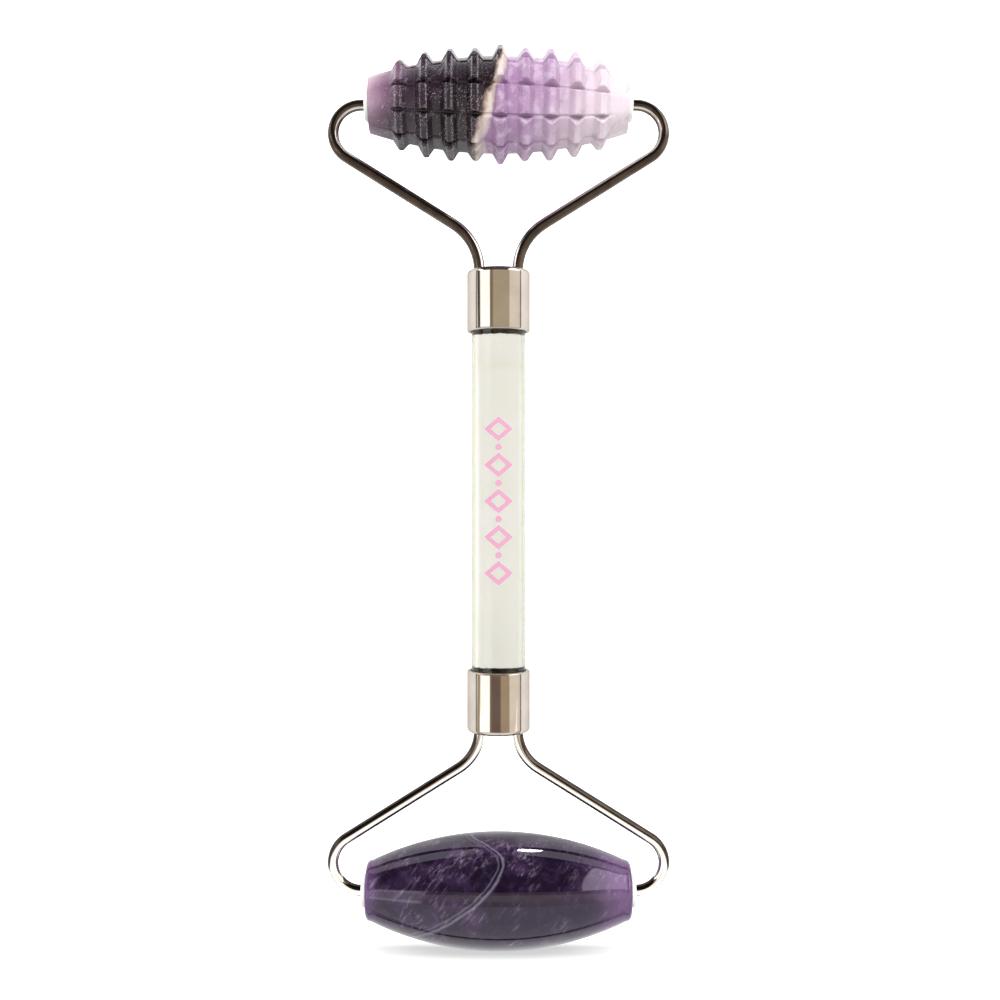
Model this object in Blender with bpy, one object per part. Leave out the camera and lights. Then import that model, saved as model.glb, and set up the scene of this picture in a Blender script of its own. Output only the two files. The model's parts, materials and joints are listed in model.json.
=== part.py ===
"""Double-ended facial massage roller: a clear rod handle, a spiked stone at one end and a smooth one at the other.

Metres, +Z up. The roller lies on its two stones, as on a table. The handle is along Y with its middle at the
origin, the spiked stone at +Y and the smooth stone at -Y, and both turn on axles parallel to X. Each fork is one
spring wire: its bight is set in the ferrule, its two arms splay out and loop round, and its ends are the stone's
stub axles. The parts of one end are shaped at +Y, and turned round Z for the other end.
"""

import math

import bmesh
import bpy
from mathutils import Matrix, Vector

MM = 0.001
GAP = 0.3 * MM  # kept between two pieces that touch

# Handle rod
ROD_R = 4.5 * MM
ROD_EXPOSED = 56.4 * MM  # between the two ferrules
ROD_INSERTION = 2.6 * MM  # hidden in each ferrule
ROD_CHAMFER = 0.3 * MM

# Ferrules
FERRULE_R = 5.25 * MM
FERRULE_LENGTH = 10.2 * MM
FERRULE_END_WALL = 1.2 * MM
FERRULE_ROUND = 0.8 * MM  # edge of the closed end
FERRULE_MOUTH_CHAMFER = 0.1 * MM

# Wire forks
WIRE_R = 1.0 * MM
LEG_X = 3.2 * MM  # half the distance between the legs, and the radius of the bight
SPLAY_ANGLE = math.radians(32)  # of the arms, from the axle's direction
LOOP_R = 4.7 * MM
LOOP_REACH = 27.6 * MM  # of the wire's centreline from the middle of the tool
STUB_DEPTH = 5.2 * MM  # of each stub axle in the stone
SPIKED_AXLE_Y = 66.1 * MM
SMOOTH_AXLE_Y = -65.0 * MM

# Stones
BORE_R = 2.3 * MM
SPIKED_HALF = 21.5 * MM
SPIKED_END_R = 4.6 * MM
SPIKED_BASE_R = 7.8 * MM  # between the teeth, at the middle
SMOOTH_HALF = 22.0 * MM
SMOOTH_END_R = 4.5 * MM
SMOOTH_MID_R = 9.55 * MM
SMOOTH_ROUND = 0.6 * MM

# Teeth of the spiked stone
TOOTH_ROWS = 10
TOOTH_PITCH = 4.15 * MM
TOOTH_LENGTH = 2.9 * MM  # along the axle
TOOTH_TIP_R = [9.8 * MM, 9.2 * MM, 9.15 * MM, 8.6 * MM, 7.4 * MM]  # from the middle ring outwards
TOOTH_SHIFT = 0.3 * MM  # of the middle ring towards +X
TOOTH_BASE_ANGLE = math.radians(16)  # half the width of a tooth round the stone
TOOTH_CREST_ANGLE = math.radians(8)  # half the width of its crest
HIP_RISE = 0.2 * MM  # a corner this far above the other three starts a hip
FIRST_ROW_ANGLE = math.radians(25)  # from the top, towards +Y

# Bushings
SLEEVE_R = 2.0 * MM
SLEEVE_BORE_R = WIRE_R + GAP
SLEEVE_LENGTH = 6.0 * MM
FLANGE_R = 2.7 * MM
FLANGE_THICKNESS = 0.5 * MM

# How finely round shapes are divided
ROD_SIDES = 48
STONE_SIDES = 40
BUSHING_SIDES = 20
WIRE_SIDES = 8
SMOOTH_BANDS = 14  # along the smooth stone's side
ARC_STEP = math.radians(16)
CORNER_STEP = math.radians(35)
SHARP_ANGLE = math.radians(30)
ON_AXIS = 1e-9  # a radius below this is a point on the axis
ROUNDING = 1e-6  # share of a step that is put down to rounding
AXLE_MARK = 5 * MM  # drawn size of the empties that stand for the axles

# Worked out from the sizes above
FERRULE_MOUTH = ROD_EXPOSED / 2
FERRULE_END = FERRULE_MOUTH + FERRULE_LENGTH
FERRULE_BORE_R = ROD_R + GAP
ROD_END = FERRULE_MOUTH + ROD_INSERTION
PLUG_START = ROD_END + GAP
PLUG_END = FERRULE_END - FERRULE_END_WALL - GAP
WIRE_HOLE_R = WIRE_R + GAP
DRILL_LENGTH = 4 * FERRULE_END_WALL
BIGHT_Y = PLUG_END - GAP


def clear_scene():
    for thing in list(bpy.data.objects):
        bpy.data.objects.remove(thing, do_unlink=True)


def material(name, colour, roughness, metallic=0.0, transmission=0.0):
    made = bpy.data.materials.new(name)
    made.use_nodes = True
    shader = made.node_tree.nodes["Principled BSDF"]
    shader.inputs["Base Color"].default_value = (*colour, 1.0)
    shader.inputs["Roughness"].default_value = roughness
    shader.inputs["Metallic"].default_value = metallic
    shader.inputs["Transmission Weight"].default_value = transmission
    return made


def node(name, mesh_builder, looks, parent=None):
    """Turns a bmesh into a named object, with its faces pointing out and its round sides smooth."""
    bmesh.ops.recalc_face_normals(mesh_builder, faces=mesh_builder.faces)
    mesh = bpy.data.meshes.new(name)
    mesh_builder.to_mesh(mesh)
    mesh_builder.free()
    mesh.materials.append(looks)
    mesh.shade_smooth()
    mesh.set_sharp_from_angle(angle=SHARP_ANGLE)
    made = bpy.data.objects.new(name, mesh)
    bpy.context.collection.objects.link(made)
    made.parent = parent
    return made


def axle_empty(name, along):
    made = bpy.data.objects.new(name, None)
    made.empty_display_size = AXLE_MARK
    made.location = (0.0, along, 0.0)
    bpy.context.collection.objects.link(made)
    return made


def arc(centre, radius, start, end, step=ARC_STEP):
    """Points on an arc in a plane, from one angle to another, both ends included."""
    count = max(1, math.ceil(abs(end - start) / step - ROUNDING))
    angles = [start + (end - start) * i / count for i in range(count + 1)]
    return [(centre[0] + radius * math.cos(a), centre[1] + radius * math.sin(a)) for a in angles]


def shell(rings, closed_loop):
    """Joins rings of vertices, each given as a list of points, with quads. A ring of one point is a pole."""
    made = bmesh.new()
    made_rings = [[made.verts.new(point) for point in ring] for ring in rings]
    pairs = list(zip(made_rings, made_rings[1:]))
    if closed_loop:
        pairs.append((made_rings[-1], made_rings[0]))
    for low, high in pairs:
        sides = max(len(low), len(high))
        for i in range(sides):
            j = (i + 1) % sides
            if len(low) == 1:
                made.faces.new((low[0], high[i], high[j]))
            elif len(high) == 1:
                made.faces.new((low[i], low[j], high[0]))
            else:
                made.faces.new((low[i], low[j], high[j], high[i]))
    return made


def turned(outline, sides, along_x=False):
    """A body turned round Y, or X, from (along, radius) points. An outline off the axis goes round a bore."""
    rings = []
    for along, radius in outline:
        count = 1 if radius < ON_AXIS else sides
        angles = [2 * math.pi * i / count for i in range(count)]
        if along_x:
            rings.append([Vector((along, radius * math.cos(a), radius * math.sin(a))) for a in angles])
        else:
            rings.append([Vector((radius * math.cos(a), along, radius * math.sin(a))) for a in angles])
    return shell(rings, closed_loop=outline[0][1] > ON_AXIS)


def turn_round(builder):
    """Takes a shape made for the spiked end, at +Y, round to the smooth end."""
    bmesh.ops.transform(builder, matrix=Matrix.Rotation(math.pi, 4, "Z"), verts=builder.verts)


def barrel_arc(half_length, middle_r, end_r):
    """Radius of the arc that runs along a barrel's side, through its middle and its two ends."""
    drop = middle_r - end_r
    return (half_length**2 + drop**2) / (2 * drop)


def barrel_radius(x, half_length, middle_r, end_r):
    arc_r = barrel_arc(half_length, middle_r, end_r)
    return middle_r - arc_r + math.sqrt(arc_r**2 - x**2)


def cut(target, builder, name):
    """Takes the shape in the builder out of the target, and removes it."""
    cutter = node(name, builder, target.data.materials[0])
    cutter.hide_render = True
    cutter.display_type = "WIRE"
    boolean = target.modifiers.new(name, "BOOLEAN")
    boolean.operation = "DIFFERENCE"
    boolean.object = cutter


def handle_rod(looks):
    outline = [
        (-ROD_END, 0.0),
        (-ROD_END, ROD_R - ROD_CHAMFER),
        (-ROD_END + ROD_CHAMFER, ROD_R),
        (ROD_END - ROD_CHAMFER, ROD_R),
        (ROD_END, ROD_R - ROD_CHAMFER),
        (ROD_END, 0.0),
    ]
    node("handle_rod", turned(outline, ROD_SIDES), looks)


def ferrule(name, looks, at_smooth_end):
    """A cap: open mouth over the rod, closed end with two holes for the fork's legs."""
    corner = (FERRULE_END - FERRULE_ROUND, FERRULE_R - FERRULE_ROUND)
    outline = [
        (FERRULE_END - FERRULE_END_WALL, 0.0),
        (FERRULE_END - FERRULE_END_WALL, FERRULE_BORE_R),
        (FERRULE_MOUTH, FERRULE_BORE_R),
        (FERRULE_MOUTH, FERRULE_R - FERRULE_MOUTH_CHAMFER),
        (FERRULE_MOUTH + FERRULE_MOUTH_CHAMFER, FERRULE_R),
        *arc(corner, FERRULE_ROUND, math.pi / 2, 0.0, CORNER_STEP),
        (FERRULE_END, 0.0),
    ]
    builder = turned(outline, ROD_SIDES)
    drills = bmesh.new()
    for side in (-1, 1):
        bmesh.ops.create_cone(
            drills,
            cap_ends=True,
            segments=BUSHING_SIDES,
            radius1=WIRE_HOLE_R,
            radius2=WIRE_HOLE_R,
            depth=DRILL_LENGTH,
            matrix=Matrix.Translation((side * LEG_X, FERRULE_END, 0.0)) @ Matrix.Rotation(math.pi / 2, 4, "X"),
        )
    if at_smooth_end:
        turn_round(builder)
        turn_round(drills)
    cut(node(name, builder, looks), drills, name + "_drills")


def epoxy_plug(name, looks, at_smooth_end):
    """Set adhesive behind the rod, with the channel that the wire's bight lies in."""
    radius = FERRULE_BORE_R - GAP
    plug = turned(
        [(PLUG_START, 0.0), (PLUG_START, radius), (PLUG_END, radius), (PLUG_END, 0.0)], ROD_SIDES
    )
    beyond = PLUG_END + 2 * GAP
    floor = BIGHT_Y - LEG_X - WIRE_HOLE_R
    tongue = arc((0.0, BIGHT_Y), LEG_X - WIRE_HOLE_R, 0.0, -math.pi)
    outside = radius + GAP
    channel = bmesh.new()
    corners = [(outside, beyond), (outside, floor), (-outside, floor), (-outside, beyond)]
    inner = [(-tongue[0][0], beyond), *reversed(tongue), (tongue[0][0], beyond)]
    face = channel.faces.new([channel.verts.new((x, y, -WIRE_HOLE_R)) for x, y in corners + inner])
    swept = bmesh.ops.extrude_face_region(channel, geom=[face])
    moved = [part for part in swept["geom"] if isinstance(part, bmesh.types.BMVert)]
    bmesh.ops.translate(channel, vec=(0.0, 0.0, 2 * WIRE_HOLE_R), verts=moved)
    if at_smooth_end:
        turn_round(plug)
        turn_round(channel)
    cut(node(name, plug, looks), channel, name + "_channel")


def fork_route(axle_y, stub_end):
    """Centreline of the right half of a fork, from the middle of the bight to the end of the stub axle.

    Each leg starts to bend where it leaves the ferrule, and is straight again where its arm begins.
    """
    loop_x = LOOP_REACH - LOOP_R
    loop_y = axle_y - LOOP_R
    loop_start = SPLAY_ANGLE - math.pi / 2
    arm_end_x = loop_x + LOOP_R * math.cos(loop_start)
    arm_end_y = loop_y + LOOP_R * math.sin(loop_start)
    corner_y = arm_end_y - (arm_end_x - LEG_X) * math.tan(SPLAY_ANGLE)
    bend_r = (corner_y - FERRULE_END) / math.tan((math.pi / 2 - SPLAY_ANGLE) / 2)
    bend_centre = (LEG_X + bend_r, FERRULE_END)
    bight = arc((0.0, BIGHT_Y), LEG_X, -math.pi / 2, 0.0)
    bend = arc(bend_centre, bend_r, math.pi, math.pi / 2 + SPLAY_ANGLE)
    loop = arc((loop_x, loop_y), LOOP_R, loop_start, math.pi / 2)
    return bight + bend + loop + [(stub_end, axle_y)]


def fork_wire(name, looks, axle_y, stone_half, at_smooth_end):
    right = fork_route(abs(axle_y), stone_half - STUB_DEPTH)
    left = [(-x, y) for x, y in reversed(right[1:])]
    route = [Vector((x, y, 0.0)) for x, y in left + right]
    rings = [[route[0]]]
    for i, point in enumerate(route):
        before = route[max(i - 1, 0)]
        after = route[min(i + 1, len(route) - 1)]
        into = (point - before).normalized()
        out_of = (after - point).normalized()
        heading = (into + out_of).normalized()
        across = heading.cross(Vector((0.0, 0.0, 1.0)))
        widen = 1.0 / max(heading.dot(into), heading.dot(out_of))
        angles = [2 * math.pi * (k + 0.5) / WIRE_SIDES for k in range(WIRE_SIDES)]
        ring = [
            point + WIRE_R * (widen * math.cos(a) * across + Vector((0.0, 0.0, math.sin(a)))) for a in angles
        ]
        rings.append(ring)
    rings.append([route[-1]])
    builder = shell(rings, closed_loop=False)
    if at_smooth_end:
        turn_round(builder)
    node(name, builder, looks)


def smooth_stone(looks, parent):
    """A barrel with rounded end edges and a bore right through."""
    corner_x = SMOOTH_HALF - SMOOTH_ROUND
    slope = math.asin(corner_x / barrel_arc(SMOOTH_HALF, SMOOTH_MID_R, SMOOTH_END_R))
    side_x = corner_x + SMOOTH_ROUND * math.sin(slope)
    side = []
    for i in range(SMOOTH_BANDS + 1):
        x = -side_x + 2 * side_x * i / SMOOTH_BANDS
        side.append((x, barrel_radius(x, SMOOTH_HALF, SMOOTH_MID_R, SMOOTH_END_R)))
    corner_r = side[0][1] - SMOOTH_ROUND * math.cos(slope)
    low_corner = arc((-corner_x, corner_r), SMOOTH_ROUND, math.pi, math.pi / 2 + slope, CORNER_STEP)
    high_corner = [(-x, radius) for x, radius in reversed(low_corner)]
    outline = [(SMOOTH_HALF, BORE_R), (-SMOOTH_HALF, BORE_R), *low_corner, *side[1:-1], *high_corner]
    node("smooth_roller_stone", turned(outline, STONE_SIDES, along_x=True), looks, parent)


def tooth_stations():
    """Places along the spiked stone with their tip radius, or None in a valley."""
    outer_ring = len(TOOTH_TIP_R) - 1
    stations = []
    for ring in range(-outer_ring, outer_ring + 1):
        middle = ring * TOOTH_PITCH + TOOTH_SHIFT
        stations += [
            (middle - TOOTH_LENGTH / 2, None),
            (middle, TOOTH_TIP_R[abs(ring)]),
            (middle + TOOTH_LENGTH / 2, None),
        ]
    return stations


def spiked_stone(looks, parent):
    """A slimmer barrel with rings of teeth. Each tooth is a hipped wedge with its crest round the stone."""
    offsets = [
        (-TOOTH_BASE_ANGLE, False),
        (-TOOTH_CREST_ANGLE, True),
        (0.0, True),
        (TOOTH_CREST_ANGLE, True),
        (TOOTH_BASE_ANGLE, False),
    ]
    places = []
    for row in range(TOOTH_ROWS):
        middle = FIRST_ROW_ANGLE + 2 * math.pi * row / TOOTH_ROWS
        places += [(middle + offset, on_crest) for offset, on_crest in offsets]
    stations = [(-SPIKED_HALF, None), *tooth_stations(), (SPIKED_HALF, None)]

    def around(x, radius_at):
        return [Vector((x, r * math.sin(a), r * math.cos(a))) for a, r in radius_at]

    rings = [around(-SPIKED_HALF, [(a, BORE_R) for a, _ in places])]
    for x, tip in stations:
        base = barrel_radius(x, SPIKED_HALF, SPIKED_BASE_R, SPIKED_END_R)
        rings.append(around(x, [(a, tip if tip and on_crest else base) for a, on_crest in places]))
    rings.append(around(SPIKED_HALF, [(a, BORE_R) for a, _ in places]))
    builder = shell(rings, closed_loop=True)
    split_hips(builder)
    node("spiked_roller_stone", builder, looks, parent)


def split_hips(builder):
    """Cuts each bent quad from its highest corner, so that a tooth's ends slope down as hips."""
    for face in list(builder.faces):
        corners = list(face.verts)
        radii = [math.hypot(corner.co.y, corner.co.z) for corner in corners]
        top = radii.index(max(radii))
        only_one_high = sorted(radii)[-1] - sorted(radii)[-2] > HIP_RISE
        if only_one_high:
            bmesh.utils.face_split(face, corners[top], corners[(top + 2) % 4])


def bushing(name, looks, parent, stone_half, side):
    """A flanged sleeve in one end of a stone's bore. The wire's stub turns in it."""
    inner_end = stone_half - SLEEVE_LENGTH
    under_flange = stone_half + GAP
    outer_end = under_flange + FLANGE_THICKNESS
    outline = [
        (inner_end, SLEEVE_BORE_R),
        (inner_end, SLEEVE_R),
        (under_flange, SLEEVE_R),
        (under_flange, FLANGE_R),
        (outer_end, FLANGE_R),
        (outer_end, SLEEVE_BORE_R),
    ]
    builder = turned([(side * x, radius) for x, radius in outline], BUSHING_SIDES, along_x=True)
    node(name, builder, looks, parent)


def build():
    clear_scene()
    clear_rod = material("clear_rod", (0.93, 0.94, 0.90), 0.05, transmission=1.0)
    bright_metal = material("bright_metal", (0.80, 0.77, 0.73), 0.08, metallic=1.0)
    spring_wire = material("spring_wire", (0.62, 0.59, 0.56), 0.12, metallic=1.0)
    violet_stone = material("violet_stone", (0.50, 0.37, 0.52), 0.25)
    dark_stone = material("dark_stone", (0.13, 0.08, 0.17), 0.05)
    white_plastic = material("white_plastic", (0.90, 0.90, 0.88), 0.35)
    set_epoxy = material("set_epoxy", (0.80, 0.78, 0.68), 0.30)

    handle_rod(clear_rod)
    for end, axle_y, stone_half in (
        ("spiked", SPIKED_AXLE_Y, SPIKED_HALF),
        ("smooth", SMOOTH_AXLE_Y, SMOOTH_HALF),
    ):
        at_smooth_end = end == "smooth"
        ferrule(f"{end}_end_ferrule", bright_metal, at_smooth_end)
        epoxy_plug(f"{end}_end_epoxy_plug", set_epoxy, at_smooth_end)
        fork_wire(f"{end}_end_fork_wire", spring_wire, axle_y, stone_half, at_smooth_end)
        axle = axle_empty(f"{end}_axle", axle_y)
        if at_smooth_end:
            smooth_stone(dark_stone, axle)
        else:
            spiked_stone(violet_stone, axle)
        for side, word in ((-1, "left"), (1, "right")):
            bushing(f"{end}_{word}_bushing", white_plastic, axle, stone_half, side)
    bpy.context.view_layer.update()


build()
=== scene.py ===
"""Looks of the double-ended face roller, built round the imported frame.

The roller lies on its two stones on a white table and is seen from straight above: +X is to the right in the
picture, +Y is up, and +Z points at the camera. Sizes are in metres and come from the frame where it has them.
"""

import json
import math

import bmesh
import bpy
from mathutils import Matrix, Vector


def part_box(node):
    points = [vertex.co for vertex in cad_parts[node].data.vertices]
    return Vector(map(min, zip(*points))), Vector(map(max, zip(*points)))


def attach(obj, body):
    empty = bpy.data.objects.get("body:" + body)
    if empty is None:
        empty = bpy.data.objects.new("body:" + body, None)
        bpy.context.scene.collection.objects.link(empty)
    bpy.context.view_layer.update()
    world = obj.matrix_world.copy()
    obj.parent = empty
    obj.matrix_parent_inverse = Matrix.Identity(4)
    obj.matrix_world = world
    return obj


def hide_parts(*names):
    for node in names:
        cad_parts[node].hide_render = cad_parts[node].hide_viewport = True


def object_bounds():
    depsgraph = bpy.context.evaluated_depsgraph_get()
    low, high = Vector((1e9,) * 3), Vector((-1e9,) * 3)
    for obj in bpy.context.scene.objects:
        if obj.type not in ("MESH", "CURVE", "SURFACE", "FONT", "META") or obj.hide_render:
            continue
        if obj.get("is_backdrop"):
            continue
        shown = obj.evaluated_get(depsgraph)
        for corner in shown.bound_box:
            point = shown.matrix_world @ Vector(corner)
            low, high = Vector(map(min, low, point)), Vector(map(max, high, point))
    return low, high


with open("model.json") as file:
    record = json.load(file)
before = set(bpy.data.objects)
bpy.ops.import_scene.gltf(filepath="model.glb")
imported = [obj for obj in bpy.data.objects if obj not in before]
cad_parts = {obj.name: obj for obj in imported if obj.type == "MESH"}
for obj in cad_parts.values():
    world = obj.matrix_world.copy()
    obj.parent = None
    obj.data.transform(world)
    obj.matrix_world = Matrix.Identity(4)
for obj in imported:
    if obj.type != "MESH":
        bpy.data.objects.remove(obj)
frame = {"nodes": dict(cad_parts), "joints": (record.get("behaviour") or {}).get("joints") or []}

MM = 0.001
PER_MM = 1000.0

# Wire forks, as in the CAD
LEG_X = 3.2 * MM
SPLAY_ANGLE = math.radians(32)
LOOP_R = 4.7 * MM
STUB_DEPTH = 5.2 * MM
WIRE_SIDES = 28
WIRE_STEP = math.radians(4)
WIRE_HOLE_R = 1.14 * MM
UPPER_SIDE_LEAN = 0.5  # how much the painted dark reflection on the lower fork faces outwards

# Ferrules
FERRULE_BORE_R = 4.62 * MM
FERRULE_END_WALL = 1.2 * MM
FERRULE_ROUND = 0.7 * MM
FERRULE_LIP = 0.22 * MM
KEPT_STRAIGHT = 0.08 * MM  # strip beside each rounding that keeps the side's shading straight
ROUND_SIDES = 144

# Handle rod
ROD_ROUND = 0.3 * MM

# Stones
BORE_R = 2.3 * MM
SPIKED_END_R = 4.6 * MM
SPIKED_BASE_R = 7.8 * MM
SMOOTH_END_R = 4.5 * MM
SMOOTH_ROUND = 0.9 * MM
SMOOTH_BANDS = 72

# Teeth of the spiked stone
TOOTH_ROWS = 10
TOOTH_PITCH = 4.15 * MM
TOOTH_LENGTH = 2.9 * MM
TOOTH_CREST = 0.7 * MM  # width of the flat along a tooth's crest
TOOTH_TIP_R = [9.55 * MM, 9.05 * MM, 9.0 * MM, 8.45 * MM, 7.3 * MM]
TOOTH_SHIFT = 0.3 * MM
TOOTH_CREST_ANGLE = math.radians(13)
TOOTH_BASE_ANGLE = math.radians(17)
FIRST_ROW_ANGLE = math.radians(25)
ROW_TWIST = math.radians(-0.3)  # round the stone, for each millimetre along it
SEAM_DEPTH = 0.3 * MM  # of the groove between two rows
SEAM_ANGLE = math.radians(2.5)
SEAM_FADE = 0.45  # tooth pitches at each end of the stone that the grooves don't reach
EDGE_BAND_WIDTH = 0.15  # of the band along an edge that is painted lighter, a painted highlight, and made rougher, as a share of a tooth's slope
VALLEY_FILLET = 0.2  # where a valley's rounding ends, as a share of a tooth's height
STONE_STEP = 0.17 * MM
STEPS_PER_ROW = 20

# Bushings
FLANGE_R = 2.7 * MM
FLANGE_THICKNESS = 0.8 * MM
FLANGE_ROUND = 0.25 * MM
SLEEVE_R = 2.25 * MM
SLEEVE_BORE_R = 1.08 * MM
SLEEVE_LENGTH = 6.0 * MM

# Ornament printed on the handle: rhombus outlines with dots between them
ORNAMENT_LENGTH = 27.6 * MM
ORNAMENT_WIDTH = 4.8 * MM
RHOMBUS_COUNT = 5
RHOMBUS_LENGTH = 4.0 * MM
RHOMBUS_LINE = 0.56  # the inside of each rhombus, as a share of its outside
DOT_R = 0.52 * MM
PRINT_THICKNESS = 0.06 * MM  # above the rod, and as much below it

# Colours of the stones, in millimetres from the middle of a stone
BANDS_LENGTH = 46.0
VEIN_LEAN = -0.33
CRACK_X = 0.8
CRACK_Y = 6.5

# Camera and table
CAMERA_HEIGHT = 200 * MM
PICTURE_WIDTH = 167 * MM
PICTURE_CENTRE = (0.25 * MM, 0.17 * MM)
SENSOR_WIDTH = 36.0
TABLE_HALF = 3.0
DARK_STRIP_BACK = (-78.3, -76.3)  # millimetres along Y, from no glow to full glow
DARK_STRIP_FRONT = (-79.0, -82.5)
DARK_SPOTS = ((-68.0, 9.8), (69.5, 8.5))  # middle and half width of what each stone hides from the camera
DARK_SPOT_HALF_LENGTH = 21.5

# Lamp above
LAMP_SIZE = 0.35
LAMP_POWER = 4.5
LAMP_PLACE = (0.05, 0.40, 0.64)

# Cards that show in the smooth stone. Its highlight is placed by the point where the camera sees it.
CARD_HEIGHT = 50 * MM
CARD_EDGE = 8 * MM  # past the smooth stone's axle, towards the handle
CARD_DEPTH = 500 * MM
CARD_WIDTH = 300 * MM
CARD_RADIANCE = 0.6
HIGHLIGHT_X = 4.5 * MM
HIGHLIGHT_ANGLE = math.radians(62)  # round the stone, from the top towards the handle
HIGHLIGHT_CARD = (0.013, 0.013)
HIGHLIGHT_RADIANCE = 60.0
HIGHLIGHT_REACH = 40 * MM

# Sockets of the Mix node that carry colours
MIX_A = 6
MIX_B = 7
MIX_RESULT = 2


# ---------------------------------------------------------------- node helpers


def srgb(red, green, blue):
    """A colour given as it looks on screen, from 0 to 255, as the linear colour that shaders take."""
    linear = []
    for value in (red, green, blue):
        share = value / 255
        linear.append(share / 12.92 if share <= 0.04045 else ((share + 0.055) / 1.055) ** 2.4)
    return (*linear, 1.0)


def add(tree, kind, inputs, **settings):
    """Adds a node. Each input is a plain value or the socket that feeds it."""
    made = tree.nodes.new(kind)
    for key, value in settings.items():
        setattr(made, key, value)
    for key, value in inputs.items():
        if isinstance(value, bpy.types.NodeSocket):
            tree.links.new(value, made.inputs[key])
        else:
            made.inputs[key].default_value = value
    return made


def maths(tree, operation, *values):
    inputs = dict(enumerate(values))
    return add(tree, "ShaderNodeMath", inputs, operation=operation).outputs[0]


def mixed(tree, share, first, second, blend="MIX"):
    inputs = {0: share, MIX_A: first, MIX_B: second}
    return add(tree, "ShaderNodeMix", inputs, data_type="RGBA", blend_type=blend).outputs[MIX_RESULT]


def rising(tree, value, low, high):
    """0 below low, 1 above high, and a smooth step between them."""
    inputs = {"Value": value, "From Min": low, "From Max": high}
    return add(tree, "ShaderNodeMapRange", inputs, interpolation_type="SMOOTHSTEP").outputs[0]


def spread(tree, value, low, high):
    """A value from 0 to 1 stretched to run from low to high."""
    inputs = {"Value": value, "To Min": low, "To Max": high}
    return add(tree, "ShaderNodeMapRange", inputs).outputs[0]


def within(tree, value, low, high, edge):
    """1 between low and high, 0 outside, with soft edges."""
    above = rising(tree, value, low - edge, low + edge)
    below = rising(tree, value, high + edge, high - edge)
    return maths(tree, "MULTIPLY", above, below)


def noise(tree, vector, size, detail=3.0, roughness=0.5, distortion=0.0):
    inputs = {
        "Vector": vector,
        "Scale": 1.0 / size,
        "Detail": detail,
        "Roughness": roughness,
        "Distortion": distortion,
    }
    return add(tree, "ShaderNodeTexNoise", inputs).outputs[0]


def cells(tree, vector, size, feature="F1"):
    inputs = {"Vector": vector, "Scale": 1.0 / size}
    return add(tree, "ShaderNodeTexVoronoi", inputs, feature=feature).outputs[0]


def ramp(tree, value, stops):
    """Colours along a value, from (place, colour) stops."""
    made = add(tree, "ShaderNodeValToRGB", {0: value})
    line = made.color_ramp
    while len(line.elements) < len(stops):
        line.elements.new(1.0)
    for element, (place, colour) in zip(line.elements, stops):
        element.position = place
        element.color = colour
    return made.outputs[0]


def place_mm(tree):
    """The point on the surface, in millimetres from the object's origin: a vector, and its three parts."""
    coordinates = add(tree, "ShaderNodeTexCoord", {})
    scaled = add(
        tree, "ShaderNodeVectorMath", {0: coordinates.outputs["Object"], "Scale": PER_MM}, operation="SCALE"
    )
    parts = add(tree, "ShaderNodeSeparateXYZ", {0: scaled.outputs[0]})
    return scaled.outputs[0], parts.outputs[0], parts.outputs[1], parts.outputs[2]


def turned_and_stretched(tree, vector, turn, stretch):
    """Makes a pattern longer by the stretch along each axis, then turns it round Z, in degrees."""
    inputs = {"Vector": vector, "Rotation": (0.0, 0.0, math.radians(turn)), "Scale": stretch}
    return add(tree, "ShaderNodeMapping", inputs, vector_type="TEXTURE").outputs[0]


def bumped(tree, height, depth, base=None):
    """A surface normal from a height. depth is how far the height reaches, in metres."""
    inputs = {"Height": height, "Distance": depth, "Strength": 1.0}
    if base is not None:
        inputs["Normal"] = base
    return add(tree, "ShaderNodeBump", inputs).outputs[0]


def new_material(name, **sockets):
    """A material with one Principled shader. Underscores in a socket's name stand for spaces."""
    made = bpy.data.materials.new(name)
    made.use_nodes = True
    shader = made.node_tree.nodes["Principled BSDF"]
    for key, value in sockets.items():
        shader.inputs[key.replace("_", " ")].default_value = value
    return made, made.node_tree, shader


def feed(tree, shader, **sockets):
    for key, value in sockets.items():
        tree.links.new(value, shader.inputs[key.replace("_", " ")])


# ---------------------------------------------------------------- materials


def plated_metal(name, light, dark):
    """Bright nickel plate with faint wipe marks and a few soft stains."""
    made, tree, shader = new_material(name, Metallic=1.0, Specular_Tint=(0.70, 0.66, 0.62, 1.0))
    point, _, _, _ = place_mm(tree)
    stain = noise(tree, point, 4.0, detail=4.0)
    wiped = turned_and_stretched(tree, point, 0.0, (1.0, 8.0, 1.0))
    marks = noise(tree, wiped, 0.35, detail=5.0, roughness=0.7)
    feed(
        tree,
        shader,
        Base_Color=mixed(tree, rising(tree, stain, 0.35, 0.65), light, dark),
        Roughness=spread(tree, marks, 0.02, 0.09),
        Normal=bumped(tree, marks, 0.0015 * MM),
    )
    return made


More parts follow.
